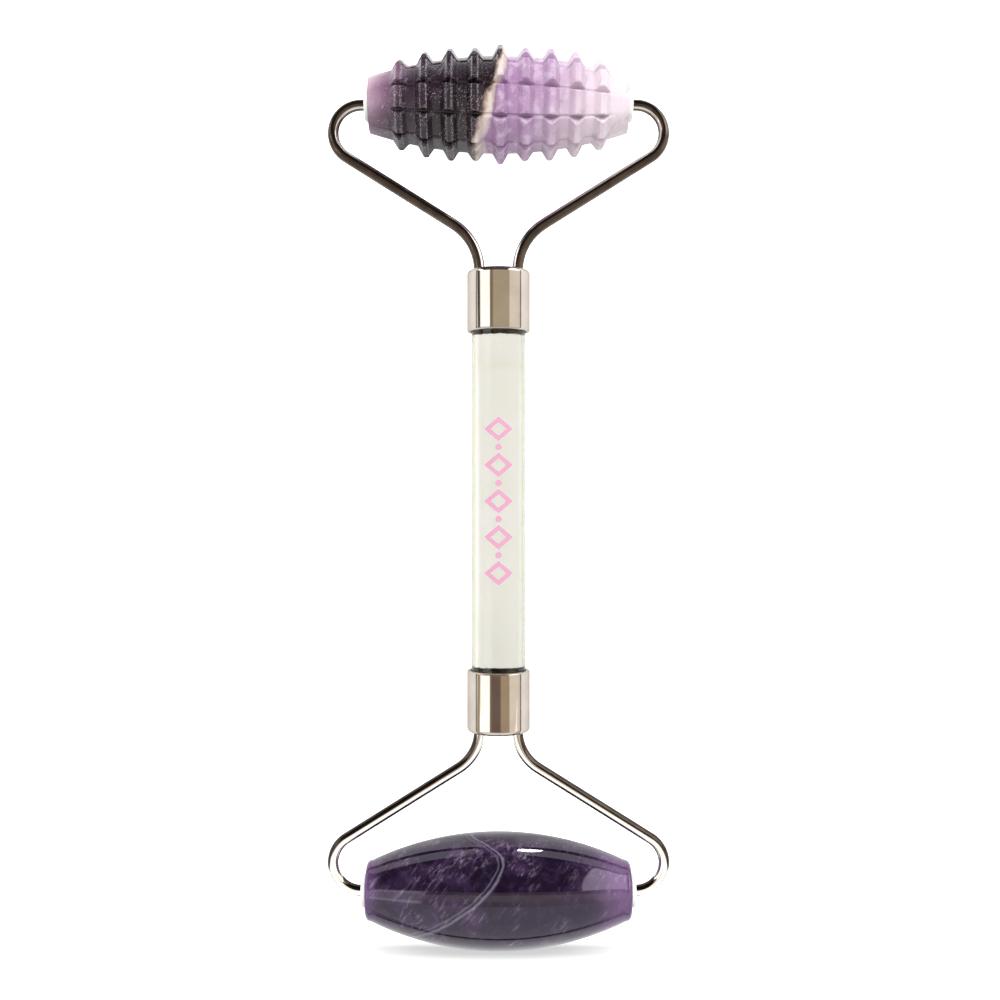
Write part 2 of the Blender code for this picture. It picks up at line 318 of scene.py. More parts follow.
def fork_metal(name, bright, dark, side, bright_from, bright_to):
    """Drawn spring wire with drawing lines along it, its colour painted reflection: mottled brown but for one
    bright strip.

    The strip is painted, and stands in for what the wire reflects when the roller is seen from above. side is
    the attribute, from -1 to 1 round the wire, that the strip's two edges are measured in.
    """
    made, tree, shader = new_material(name, Metallic=1.0)
    point, _, _, _ = place_mm(tree)
    round_wire = add(tree, "ShaderNodeAttribute", {}, attribute_name=side).outputs["Fac"]
    along = add(tree, "ShaderNodeAttribute", {}, attribute_name="along_wire").outputs["Fac"]
    slowly = maths(tree, "MULTIPLY", along, 0.08)
    lines = add(tree, "ShaderNodeCombineXYZ", {0: round_wire, 1: slowly}).outputs[0]
    drawn = noise(tree, lines, 0.22, detail=3.0)
    dark_mottle = noise(tree, point, 2.2, detail=4.0)
    bright_band = within(tree, round_wire, bright_from, bright_to, 0.06)
    # The wire's brown is painted dark reflection, mottled by noise, and plate here is that painted dark
    # reflection; the bright band is a painted reflection strip.
    darker = tuple(0.62 * value for value in dark[:3]) + (1.0,)
    plate = mixed(tree, rising(tree, dark_mottle, 0.3, 0.7), dark, darker)
    feed(
        tree,
        shader,
        Base_Color=mixed(tree, bright_band, plate, bright),
        Roughness=spread(tree, drawn, 0.08, 0.24),
        Normal=bumped(tree, drawn, 0.004 * MM),
    )
    return made


def clear_acrylic():
    """The handle: clear, faintly green, with a pebbly surface and one tan smear inside."""
    made, tree, shader = new_material("clear_acrylic", Roughness=0.0, IOR=1.49, Transmission_Weight=1.0)
    point, across, along, _ = place_mm(tree)
    pebbles = noise(tree, point, 0.9, detail=3.0, roughness=0.6)
    cloud = noise(tree, point, 5.0, detail=3.0)
    tint = mixed(tree, rising(tree, cloud, 0.3, 0.7), srgb(253, 253, 246), srgb(248, 249, 238))
    streak = turned_and_stretched(tree, point, 8.0, (3.0, 0.6, 1.0))
    facing = add(tree, "ShaderNodeLayerWeight", {}).outputs["Facing"]
    # The rim is tinted darker and olive: partly the glass's own green over a longer path, partly painted
    # shade.
    rimmed = mixed(tree, rising(tree, facing, 0.38, 0.56), tint, srgb(158, 161, 138))
    middle = maths(
        tree, "MULTIPLY", within(tree, along, 22.6, 23.2, 0.9), within(tree, across, -1.0, 1.6, 1.4)
    )
    smear = maths(tree, "MULTIPLY", middle, rising(tree, noise(tree, streak, 1.2, detail=4.0), 0.34, 0.66))
    feed(
        tree,
        shader,
        Base_Color=mixed(tree, smear, rimmed, srgb(230, 212, 182)),
        Roughness=spread(tree, pebbles, 0.02, 0.10),
        Normal=bumped(tree, pebbles, 0.03 * MM),
    )
    return made


def print_ink():
    """Matt pink screen print with a slightly uneven coat."""
    made, tree, shader = new_material("pink_print", Specular_IOR_Level=0.3)
    point, _, _, _ = place_mm(tree)
    coat = noise(tree, point, 0.45, detail=4.0)
    feed(
        tree,
        shader,
        Base_Color=mixed(tree, coat, srgb(208, 146, 174), srgb(198, 152, 174)),
        Roughness=spread(tree, coat, 0.45, 0.7),
        Normal=bumped(tree, coat, 0.004 * MM),
    )
    return made


def white_nylon():
    """The bushings: milky nylon with fine mould texture."""
    made, tree, shader = new_material(
        "white_nylon", Subsurface_Weight=0.4, Subsurface_Scale=0.0015, IOR=1.53
    )
    point, _, _, _ = place_mm(tree)
    grain = noise(tree, point, 0.12, detail=2.0)
    haze = noise(tree, point, 1.2, detail=3.0)
    feed(
        tree,
        shader,
        Base_Color=mixed(tree, haze, srgb(250, 250, 248), srgb(236, 235, 230)),
        Roughness=spread(tree, grain, 0.3, 0.5),
        Normal=bumped(tree, grain, 0.003 * MM),
    )
    return made


def set_epoxy():
    """The plugs behind the rod: cast epoxy, slightly yellow, with small bubbles."""
    made, tree, shader = new_material("cast_epoxy", IOR=1.55)
    point, _, _, _ = place_mm(tree)
    bubbles = cells(tree, point, 0.5)
    swirl = noise(tree, point, 2.0, detail=3.0, distortion=1.0)
    colour = mixed(tree, swirl, srgb(222, 214, 186), srgb(204, 192, 158))
    feed(
        tree,
        shader,
        Base_Color=mixed(tree, rising(tree, bubbles, 0.16, 0.06), colour, srgb(240, 236, 222)),
        Roughness=spread(tree, swirl, 0.15, 0.35),
        Normal=bumped(tree, rising(tree, bubbles, 0.05, 0.2), 0.03 * MM),
    )
    return made


def amethyst_bands(tree, across):
    """Colours along the spiked stone, by the millimetres across its bands."""

    def stop(millimetres, colour):
        return (millimetres / BANDS_LENGTH + 0.5, colour)

    return ramp(
        tree,
        maths(tree, "MULTIPLY_ADD", across, 1 / BANDS_LENGTH, 0.5),
        [
            stop(-22.5, srgb(208, 190, 196)),
            stop(-19.5, srgb(162, 134, 152)),
            stop(-17.0, srgb(114, 84, 106)),
            stop(-14.5, srgb(48, 29, 48)),
            stop(-4.0, srgb(22, 9, 22)),
            stop(-0.8, srgb(34, 18, 24)),
            stop(-0.4, srgb(164, 144, 130)),
            stop(-0.1, srgb(216, 206, 192)),
            stop(0.6, srgb(210, 198, 196)),
            stop(1.1, srgb(166, 132, 168)),
            stop(5.0, srgb(172, 142, 174)),
            stop(9.5, srgb(186, 160, 186)),
            stop(13.5, srgb(208, 190, 202)),
            stop(17.5, srgb(222, 209, 216)),
            stop(22.5, srgb(226, 214, 219)),
        ],
    )


def amethyst_clouds(tree, point, across, bands, cloud):
    """The spiked stone's colour, clouded, with wisps, and with haze and smoke in its pale half."""
    clouded = mixed(tree, spread(tree, cloud, 0.0, 0.7), bands, srgb(128, 108, 128), blend="SOFT_LIGHT")
    feather = turned_and_stretched(tree, point, 62.0, (4.0, 1.1, 1.7))
    wisps = rising(tree, noise(tree, feather, 0.7, detail=5.0, roughness=0.65), 0.58, 0.78)
    wispy = mixed(tree, maths(tree, "MULTIPLY", wisps, 0.5), clouded, srgb(196, 180, 198))
    pale_half = rising(tree, across, 0.5, 2.0)
    haze = maths(tree, "MULTIPLY", pale_half, rising(tree, noise(tree, point, 1.8, detail=5.0), 0.46, 0.66))
    hazy = mixed(tree, maths(tree, "MULTIPLY", haze, 0.4), wispy, srgb(216, 202, 216))
    dark_wisps = rising(tree, noise(tree, feather, 1.3, detail=4.0), 0.56, 0.72)
    smoke = maths(tree, "MULTIPLY", pale_half, dark_wisps)
    return mixed(tree, maths(tree, "MULTIPLY", smoke, 0.3), hazy, srgb(136, 104, 138))


def banded_amethyst():
    """The spiked stone: mauve, then purple-black, a cream vein, and lilac fading to pinkish white."""
    made, tree, shader = new_material(
        "banded_amethyst",
        Subsurface_Weight=0.15,
        Subsurface_Radius=(1.0, 0.8, 1.1),
        Subsurface_Scale=0.0008,
        IOR=1.55,
        Coat_Weight=0.1,
        Coat_Roughness=0.04,
    )
    point, x, y, z = place_mm(tree)
    wander = spread(tree, noise(tree, point, 5.0, detail=4.0), -1.6, 1.6)
    ragged = spread(tree, noise(tree, point, 0.8, detail=4.0, roughness=0.6), -0.35, 0.35)
    leaning = maths(tree, "MULTIPLY_ADD", y, VEIN_LEAN, maths(tree, "ADD", x, 0.8))
    depth = maths(tree, "MULTIPLY", z, 0.05)
    across = maths(tree, "ADD", maths(tree, "ADD", leaning, depth), maths(tree, "ADD", wander, ragged))
    olive = maths(tree, "MULTIPLY", rising(tree, y, 1.0, -4.0), rising(tree, across, -0.5, -4.0))
    banded = amethyst_bands(tree, across)
    bands = mixed(tree, maths(tree, "MULTIPLY", olive, 0.3), banded, srgb(52, 46, 40))
    cloud = noise(tree, point, 2.6, detail=5.0, roughness=0.6)
    clouded = amethyst_clouds(tree, point, across, bands, cloud)
    # Pale, rougher specks: partly frost in the stone, partly painted glints.
    sparkle = noise(tree, point, 0.28, detail=3.0, roughness=0.7)
    frost_and_glint_zone = rising(tree, noise(tree, point, 3.0, detail=2.0), 0.45, 0.62)
    frost_and_glints = maths(tree, "MULTIPLY", rising(tree, sparkle, 0.56, 0.68), frost_and_glint_zone)
    with_frost_and_glints = mixed(tree, maths(tree, "MULTIPLY", frost_and_glints, 0.4), clouded, srgb(206, 192, 206))
    # Along the teeth's edges, broken up by noise: a painted highlight in the colour, and wear in the
    # roughness.
    near_edge = add(tree, "ShaderNodeAttribute", {}, attribute_name="worn_edge").outputs["Fac"]
    chips_and_highlight = maths(tree, "MULTIPLY", near_edge, rising(tree, sparkle, 0.40, 0.62))
    rough = maths(tree, "ADD", spread(tree, cloud, 0.08, 0.22), maths(tree, "MULTIPLY", chips_and_highlight, 0.25))
    feed(
        tree,
        shader,
        Base_Color=mixed(tree, maths(tree, "MULTIPLY", chips_and_highlight, 0.7), with_frost_and_glints, srgb(214, 200, 214)),
        Roughness=maths(tree, "ADD", rough, maths(tree, "MULTIPLY", frost_and_glints, 0.2)),
        Normal=bumped(tree, sparkle, 0.09 * MM),
    )
    return made


def healed_crack(tree, point, x, y):
    """How much of the smooth stone's healed crack is at a point, and whether the point is on its left.

    The crack is a curved wall that runs straight down through the stone. bow is how far it falls back from
    its foremost line, and far is the distance from it, with minus on its left.
    """
    bent = spread(tree, noise(tree, point, 3.0, detail=3.0), -0.5, 0.5)
    above = maths(tree, "MAXIMUM", maths(tree, "SUBTRACT", y, CRACK_Y), 0.0)
    steeper = maths(tree, "MULTIPLY", maths(tree, "POWER", above, 1.5), 1.4)
    down = maths(tree, "MAXIMUM", maths(tree, "SUBTRACT", CRACK_Y, y), steeper)
    bow = maths(tree, "MULTIPLY", maths(tree, "POWER", down, 1.6), 0.25)
    sideways = maths(tree, "ADD", maths(tree, "SUBTRACT", x, CRACK_X), maths(tree, "ADD", bow, bent))
    slope = maths(tree, "MULTIPLY", maths(tree, "POWER", down, 0.6), 0.4)
    steepness = maths(tree, "SQRT", maths(tree, "MULTIPLY_ADD", slope, slope, 1.0))
    far = maths(tree, "DIVIDE", sideways, steepness)
    main_line = within(tree, far, -0.16, 0.16, 0.2)
    second_line = maths(tree, "MULTIPLY", within(tree, far, -0.82, -0.64, 0.16), 0.7)
    broken = spread(tree, noise(tree, point, 1.1, detail=4.0, roughness=0.7), 0.35, 1.1)
    crack = maths(tree, "MULTIPLY", maths(tree, "MAXIMUM", main_line, second_line), broken)
    return crack, rising(tree, far, 0.1, -0.5)


def feathery_wisps(tree, point, inside):
    """Swarms of short strands, with others across them on the crack's left."""
    feather = turned_and_stretched(tree, point, 52.0, (4.5, 0.9, 1.25))
    strands = noise(tree, feather, 0.75, detail=6.0, roughness=0.68, distortion=0.3)
    swarm = noise(tree, point, 5.5, detail=3.0)
    wisps = maths(tree, "MULTIPLY", rising(tree, strands, 0.48, 0.74), rising(tree, swarm, 0.40, 0.62))
    other = turned_and_stretched(tree, point, -48.0, (4.0, 0.8, 1.25))
    cross_strands = rising(tree, noise(tree, other, 0.8, detail=6.0, roughness=0.68), 0.6, 0.76)
    cross_wisps = maths(tree, "MULTIPLY", maths(tree, "MULTIPLY", cross_strands, inside), 0.5)
    return maths(tree, "MAXIMUM", wisps, cross_wisps)


def dark_amethyst():
    """The smooth stone: purple-black with paler ends, feathery wisps and a crack with a double line."""
    made, tree, shader = new_material(
        "dark_amethyst",
        Subsurface_Weight=0.05,
        Subsurface_Radius=(0.8, 0.5, 1.0),
        Subsurface_Scale=0.001,
        IOR=1.55,
        Specular_Tint=(0.90, 0.82, 1.0, 1.0),
    )
    point, x, y, _ = place_mm(tree)
    cloud = noise(tree, point, 6.0, detail=5.0, roughness=0.55)
    patch = noise(tree, point, 2.4, detail=5.0, roughness=0.6, distortion=0.6)
    body = ramp(
        tree,
        maths(tree, "MULTIPLY_ADD", patch, 0.5, maths(tree, "MULTIPLY", cloud, 0.5)),
        [
            (0.36, srgb(14, 6, 20)),
            (0.47, srgb(23, 12, 32)),
            (0.56, srgb(40, 26, 50)),
            (0.68, srgb(72, 54, 82)),
        ],
    )
    pale_right = rising(tree, maths(tree, "MULTIPLY_ADD", cloud, 7.0, x), 16.0, 25.0)
    pale_left = rising(tree, maths(tree, "MULTIPLY_ADD", cloud, -5.0, x), -20.5, -25.5)
    pale = maths(tree, "MAXIMUM", pale_right, pale_left)
    ended = mixed(tree, maths(tree, "MULTIPLY", pale, 0.7), body, srgb(106, 74, 118))
    crack, inside = healed_crack(tree, point, x, y)
    wisps = feathery_wisps(tree, point, inside)
    wispy = mixed(tree, maths(tree, "MULTIPLY", wisps, 0.6), ended, srgb(146, 130, 152))
    feed(
        tree,
        shader,
        Base_Color=mixed(tree, maths(tree, "MULTIPLY", crack, 0.62), wispy, srgb(140, 132, 152)),
        Roughness=spread(tree, noise(tree, point, 1.4, detail=4.0), 0.012, 0.05),
        Normal=bumped(tree, noise(tree, point, 6.0, detail=2.0), 0.02 * MM),
    )
    return made


def table_white():
    """White table top. It glows, but for a strip along the smooth stone and a spot under each stone, where
    shadows show. Only the camera and what is seen through the handle take the glow in."""
    made, tree, shader = new_material("table_white", Specular_IOR_Level=0.15)
    point, across, along, _ = place_mm(tree)
    grain = noise(tree, point, 1.5, detail=3.0)
    path = add(tree, "ShaderNodeLightPath", {})
    behind_strip = rising(tree, along, *DARK_STRIP_BACK)
    before_strip = rising(tree, along, *DARK_STRIP_FRONT)
    glow = maths(tree, "MAXIMUM", behind_strip, before_strip)
    for middle, half_width in DARK_SPOTS:
        off_x = maths(tree, "DIVIDE", across, DARK_SPOT_HALF_LENGTH)
        off_y = maths(tree, "DIVIDE", maths(tree, "SUBTRACT", along, middle), half_width)
        off = maths(tree, "MULTIPLY_ADD", off_x, off_x, maths(tree, "MULTIPLY", off_y, off_y))
        glow = maths(tree, "MINIMUM", glow, rising(tree, off, 0.5, 1.1))
    through = maths(tree, "MULTIPLY", path.outputs["Is Transmission Ray"], 0.3)
    shown = maths(tree, "MAXIMUM", path.outputs["Is Camera Ray"], through)
    feed(
        tree,
        shader,
        Base_Color=mixed(tree, grain, (0.93, 0.93, 0.93, 1.0), (0.91, 0.91, 0.91, 1.0)),
        Roughness=spread(tree, grain, 0.7, 0.85),
        Emission_Strength=maths(tree, "MULTIPLY", shown, glow),
    )
    shader.inputs["Emission Color"].default_value = (1.0, 1.0, 1.0, 1.0)
    return made


# ---------------------------------------------------------------- shapes


def arc(centre, radius, start, end, step=math.radians(9)):
    """Points on an arc in a plane, from one angle to another, both ends included."""
    count = max(1, math.ceil(abs(end - start) / step))
    angles = [start + (end - start) * i / count for i in range(count + 1)]
    return [(centre[0] + radius * math.cos(a), centre[1] + radius * math.sin(a)) for a in angles]


def shell(rings, closed_loop):
    """Joins rings of points with quads. A ring of one point is a pole."""
    made = bmesh.new()
    made_rings = [[made.verts.new(point) for point in ring] for ring in rings]
    pairs = list(zip(made_rings, made_rings[1:]))
    if closed_loop:
        pairs.append((made_rings[-1], made_rings[0]))
    for low, high in pairs:
        sides = max(len(low), len(high))
        for i in range(sides):
            j = (i + 1) % sides
            if len(low) == 1:
                made.faces.new((low[0], high[i], high[j]))
            elif len(high) == 1:
                made.faces.new((low[i], low[j], high[0]))
            else:
                made.faces.new((low[i], low[j], high[j], high[i]))
    return made


def turned(outline, sides, along_x=False):
    """A body turned round Y, or X, from (along, radius) points. An outline off the axis goes round a bore."""
    rings = []
    for along, radius in outline:
        angles = [2 * math.pi * i / sides for i in range(1 if radius == 0.0 else sides)]
        if along_x:
            rings.append([Vector((along, radius * math.cos(a), radius * math.sin(a))) for a in angles])
        else:
            rings.append([Vector((radius * math.cos(a), along, radius * math.sin(a))) for a in angles])
    return shell(rings, closed_loop=outline[0][1] > 0.0)


def piece(name, builder, looks, body, nodes, origin=(0.0, 0.0, 0.0), sharp=40, attributes=None):
    """Turns a bmesh, shaped round the origin given, into a piece that stands for its CAD nodes."""
    bmesh.ops.recalc_face_normals(builder, faces=builder.faces)
    mesh = bpy.data.meshes.new(name)
    builder.to_mesh(mesh)
    builder.free()
    for label, values in (attributes or {}).items():
        mesh.attributes.new(label, "FLOAT", "POINT").data.foreach_set("value", values)
    mesh.materials.append(looks)
    mesh.shade_smooth()
    mesh.set_sharp_from_angle(angle=math.radians(sharp))
    made = bpy.data.objects.new(name, mesh)
    made.location = origin
    bpy.context.collection.objects.link(made)
    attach(made, body)
    if nodes:
        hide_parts(*nodes)
    return made


def carve(target, builder):
    """Takes the shape in the builder out of the target for good."""
    mesh = bpy.data.meshes.new("cutter")
    bmesh.ops.recalc_face_normals(builder, faces=builder.faces)
    builder.to_mesh(mesh)
    builder.free()
    cutter = bpy.data.objects.new("cutter", mesh)
    bpy.context.collection.objects.link(cutter)
    boolean = target.modifiers.new("holes", "BOOLEAN")
    boolean.operation = "DIFFERENCE"
    boolean.object = cutter
    bpy.context.view_layer.update()
    evaluated = target.evaluated_get(bpy.context.evaluated_depsgraph_get())
    carved = bpy.data.meshes.new_from_object(evaluated)
    target.modifiers.clear()
    target.data = carved
    bpy.data.objects.remove(cutter, do_unlink=True)


def handle_rod():
    low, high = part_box("handle_rod")
    radius = high.x
    corner = (high.y - ROD_ROUND, radius - ROD_ROUND)
    end = [(corner[0] - KEPT_STRAIGHT, radius), *arc(corner, ROD_ROUND, math.pi / 2, 0.0)]
    other_end = [(-along, r) for along, r in reversed(end)]
    outline = [(low.y, 0.0), *other_end, *end, (high.y, 0.0)]
    piece(
        "clear_handle_rod",
        turned(outline, ROUND_SIDES),
        clear_acrylic(),
        "frame",
        ["handle_rod"],
    )


def ferrule(end, looks):
    """A cap over the rod's end, with a rolled lip at its mouth and two wire holes in its closed end."""
    node = f"{end}_end_ferrule"
    low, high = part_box(node)
    radius = high.x
    side = 1 if high.y > 0 else -1
    mouth = min(abs(low.y), abs(high.y))
    closed = max(abs(low.y), abs(high.y))
    lip_centre = (mouth + FERRULE_LIP, radius - FERRULE_LIP)
    corner = (closed - FERRULE_ROUND, radius - FERRULE_ROUND)
    outline = [
        (closed - FERRULE_END_WALL, 0.0),
        (closed - FERRULE_END_WALL, FERRULE_BORE_R),
        (mouth, FERRULE_BORE_R),
        *arc(lip_centre, FERRULE_LIP, math.pi, math.pi / 2, math.radians(15)),
        (lip_centre[0] + KEPT_STRAIGHT, radius),
        (corner[0] - KEPT_STRAIGHT, radius),
        *arc(corner, FERRULE_ROUND, math.pi / 2, 0.0),
        (closed, 0.0),
    ]
    outline = [(side * along, r) for along, r in outline]
    made = piece(
        f"{end}_end_cap", turned(outline, ROUND_SIDES), looks, "frame", [node]
    )
    drills = bmesh.new()
    for leg in (-1, 1):
        place = Matrix.Translation((leg * LEG_X, side * closed, 0.0))
        bmesh.ops.create_cone(
            drills,
            cap_ends=True,
            segments=48,
            radius1=WIRE_HOLE_R,
            radius2=WIRE_HOLE_R,
            depth=4 * FERRULE_END_WALL,
            matrix=place @ Matrix.Rotation(math.pi / 2, 4, "X"),
        )
    carve(made, drills)


def fork_route(axle, reach, bight, ferrule_end, stub_end):
    """Centreline of a fork's right half, from the middle of the bight to the end of the stub axle."""
    loop_x = reach - LOOP_R
    loop_y = axle - LOOP_R
    loop_start = SPLAY_ANGLE - math.pi / 2
    arm_end_x = loop_x + LOOP_R * math.cos(loop_start)
    arm_end_y = loop_y + LOOP_R * math.sin(loop_start)
    corner_y = arm_end_y - (arm_end_x - LEG_X) * math.tan(SPLAY_ANGLE)
    bend_r = (corner_y - ferrule_end) / math.tan((math.pi / 2 - SPLAY_ANGLE) / 2)
    bend_centre = (LEG_X + bend_r, ferrule_end)
    bottom = arc((0.0, bight + LEG_X), LEG_X, -math.pi / 2, 0.0, WIRE_STEP)
    bend = arc(bend_centre, bend_r, math.pi, math.pi / 2 + SPLAY_ANGLE, WIRE_STEP)
    loop = arc((loop_x, loop_y), LOOP_R, loop_start, math.pi / 2, WIRE_STEP)
    return bottom + bend + loop + [(stub_end, axle)]


def fork(end, axle, stone_half, looks):
    """One spring wire. Its skin knows how far it is along the wire, on the fork's inner side, and on the side
    that faces +Y and away from the fork's middle."""
    node = f"{end}_end_fork_wire"
    low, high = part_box(node)
    wire_r = high.z
    side = 1 if axle > 0 else -1
    reach = high.x - wire_r
    bight = min(abs(low.y), abs(high.y)) + wire_r
    ferrule_low, ferrule_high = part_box(f"{end}_end_ferrule")
    ferrule_end = max(abs(ferrule_low.y), abs(ferrule_high.y))
    right = fork_route(abs(axle), reach, bight, ferrule_end, stone_half - STUB_DEPTH)
    left = [(-x, y) for x, y in reversed(right[1:])]
    route = [Vector((side * x, side * y, 0.0)) for x, y in left + right]
    rings = []
    inner_side = []
    upper_side = []
    along_wire = []
    travelled = 0.0
    angles = [2 * math.pi * (k + 0.5) / WIRE_SIDES for k in range(WIRE_SIDES)]
    for i, point in enumerate(route):
        before = route[max(i - 1, 0)]
        after = route[min(i + 1, len(route) - 1)]
        travelled += (point - before).length
        heading = ((point - before).normalized() + (after - point).normalized()).normalized()
        outward = heading.cross(Vector((0.0, 0.0, 1.0)))
        up = Vector((0.0, 0.0, 1.0))
        rings.append([point + wire_r * (math.cos(a) * outward + math.sin(a) * up) for a in angles])
        inner_side += [-math.cos(a) for a in angles]
        sideways = math.copysign(UPPER_SIDE_LEAN, point.x)
        upper_side += [math.cos(a) * (outward.y + sideways * outward.x) for a in angles]
        along_wire += [travelled * PER_MM] * WIRE_SIDES
    builder = shell([[route[0]], *rings, [route[-1]]], closed_loop=False)
    piece(
        f"{end}_end_fork",
        builder,
        looks,
        "frame",
        [node],
        attributes={
            "inner_side": [0.0, *inner_side, 0.0],
            "upper_side": [0.0, *upper_side, 0.0],
            "along_wire": [0.0, *along_wire, travelled * PER_MM],
        },
    )


def barrel_arc(half_length, middle_r, end_r):
    """Radius of the arc that runs along a barrel's side, through its middle and its two ends."""
    drop = middle_r - end_r
    return (half_length**2 + drop**2) / (2 * drop)


def barrel_radius(x, half_length, middle_r, end_r):
    arc_r = barrel_arc(half_length, middle_r, end_r)
    return middle_r - arc_r + math.sqrt(arc_r**2 - x**2)


def smooth_stone(axle):
    low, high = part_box("smooth_roller_stone")
    half = high.x
    middle_r = high.z
    corner_x = half - SMOOTH_ROUND
    side = []
    for i in range(SMOOTH_BANDS + 1):
        x = corner_x * (1 - 2 * i / SMOOTH_BANDS)
        side.append((x, barrel_radius(x, half, middle_r, SMOOTH_END_R)))
    corner_r = side[0][1] - SMOOTH_ROUND
    high_corner = arc((corner_x, corner_r), SMOOTH_ROUND, 0.0, math.pi / 2)
    low_corner = [(-x, radius) for x, radius in reversed(high_corner)]
    outline = [(-half, BORE_R), (half, BORE_R), *high_corner, *side[1:-1], *low_corner]
    piece(
        "smooth_amethyst_roller",
        turned(outline, ROUND_SIDES, along_x=True),
        dark_amethyst(),
        "smooth_roller",
        ["smooth_roller_stone"],
        origin=(0.0, axle, 0.0),
        sharp=60,
    )


def tooth_height(x):
    """The nearest ring of teeth at x: how high its slope stands there, from 0 to 1, its tip radius, and how
    far x is down the slope, with 0 at the crest's edge and 1 at the foot."""
    outer_ring = len(TOOTH_TIP_R) - 1
    ring = max(-outer_ring, min(outer_ring, round((x - TOOTH_SHIFT) / TOOTH_PITCH)))
    beside_flat = max(0.0, abs(x - TOOTH_SHIFT - ring * TOOTH_PITCH) - TOOTH_CREST / 2)
    off_crest = beside_flat / (TOOTH_LENGTH / 2 - TOOTH_CREST / 2)
    straight = max(0.0, 1.0 - off_crest)
    filleted = straight**2 / (2 * VALLEY_FILLET) if straight < VALLEY_FILLET else straight - VALLEY_FILLET / 2
    return filleted / (1 - VALLEY_FILLET / 2), TOOTH_TIP_R[abs(ring)], off_crest


def tooth_point(x, half, angle_off):
    """The spiked stone's radius at x and at an angle from the middle of a row, and how near an edge it is
    there, for the painted edge highlight and wear.
    """
    base = barrel_radius(x, half, SPIKED_BASE_R, SPIKED_END_R)
    share, tip, off_crest = tooth_height(x)
    flat = math.cos(min(angle_off, TOOTH_CREST_ANGLE))
    facet = math.cos(TOOTH_CREST_ANGLE) / flat
    end_slope = (TOOTH_BASE_ANGLE - angle_off) / (TOOTH_BASE_ANGLE - TOOTH_CREST_ANGLE)
    end_share = max(0.0, min(1.0, end_slope))
    reach = min(share, end_share)
    radius = base * (0.5 + 0.5 * facet) + max(0.0, tip * facet - base) * reach
    toothed = max(0.0, min(1.0, (half - abs(x)) / TOOTH_PITCH - SEAM_FADE))
    to_seam = (math.pi / TOOTH_ROWS - angle_off) / SEAM_ANGLE
    radius -= SEAM_DEPTH * toothed * max(0.0, 1.0 - to_seam)
    near_crest = max(0.0, 1.0 - abs(off_crest - EDGE_BAND_WIDTH) / EDGE_BAND_WIDTH)
    near_hip = max(0.0, 1.0 - abs(share - end_share) / EDGE_BAND_WIDTH) * (end_share < 1.0)
    return radius, reach * max(near_crest, near_hip)


def spiked_stone(axle):
    """A slim barrel with rings of teeth cut in flat-crested rows. A point knows how close it is to an edge,
    where the material paints a highlight and wear."""
    low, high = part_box("spiked_roller_stone")
    half = high.x
    columns = round(2 * half / STONE_STEP)
    count = TOOTH_ROWS * STEPS_PER_ROW
    first_angle = FIRST_ROW_ANGLE - math.pi / TOOTH_ROWS

    def ring_angles(x):
        start = first_angle + ROW_TWIST * x * PER_MM
        return [start + 2 * math.pi * (k + 0.5) / count for k in range(count)]

    def bore_ring(x):
        return [Vector((x, BORE_R * math.sin(a), BORE_R * math.cos(a))) for a in ring_angles(x)]

    rings = [bore_ring(-half)]
    near_edge = []
    for i in range(columns + 1):
        x = -half + 2 * half * i / columns
        ring = []
        for k, angle in enumerate(ring_angles(x)):
            row_place = (k + 0.5) / STEPS_PER_ROW % 1.0 - 0.5
            radius, edge = tooth_point(x, half, abs(row_place) * 2 * math.pi / TOOTH_ROWS)
            ring.append(Vector((x, radius * math.sin(angle), radius * math.cos(angle))))
            near_edge.append(edge)
        rings.append(ring)
    rings.append(bore_ring(half))
    piece(
        "spiked_amethyst_roller",
        shell(rings, closed_loop=True),
        banded_amethyst(),
        "spiked_roller",
        ["spiked_roller_stone"],
        origin=(0.0, axle, 0.0),
        sharp=28,
        attributes={"worn_edge": [0.0] * count + near_edge + [0.0] * count},
    )


def bushing(end, word, side, axle, stone_half, looks):
    """A flanged sleeve. Its flange lies on the stone's end."""
    outer = stone_half + FLANGE_THICKNESS
    corner = (outer - FLANGE_ROUND, FLANGE_R - FLANGE_ROUND)
    outline = [
        (stone_half - SLEEVE_LENGTH, SLEEVE_BORE_R),
        (stone_half - SLEEVE_LENGTH, SLEEVE_R),
        (stone_half, SLEEVE_R),
        (stone_half, FLANGE_R),
        *arc(corner, FLANGE_ROUND, math.pi / 2, 0.0, math.radians(22.5)),
        (outer, SLEEVE_BORE_R),
    ]
    outline = [(side * x, radius) for x, radius in outline]
    piece(
        f"{end}_{word}_nylon_bushing",
        turned(outline, ROUND_SIDES // 2, along_x=True),
        looks,
        f"{end}_roller",
        [f"{end}_{word}_bushing"],
        origin=(0.0, axle, 0.0),
    )


def print_on_rod(builder, outline, rod_r):
    """Adds one closed, thin, curved solid to the builder. outline holds loops of (across, along) points."""
    layers = []
    for radius in (rod_r - PRINT_THICKNESS, rod_r + PRINT_THICKNESS):
        layer = []
        for loop in outline:
            ring = []
            for across, along in loop:
                angle = across / rod_r
                ring.append(builder.verts.new((radius * math.sin(angle), along, radius * math.cos(angle))))
            layer.append(ring)
        layers.append(layer)
    below, above = layers
    count = len(outline[0])
    for i in range(count):
        j = (i + 1) % count
        for low_ring, high_ring in zip(below, above):
            builder.faces.new((low_ring[i], low_ring[j], high_ring[j], high_ring[i]))
        for layer in (below, above):
            if len(layer) == 2:
                builder.faces.new((layer[0][i], layer[0][j], layer[1][j], layer[1][i]))
    if len(outline) == 1:
        builder.faces.new(below[0])
        builder.faces.new(above[0])


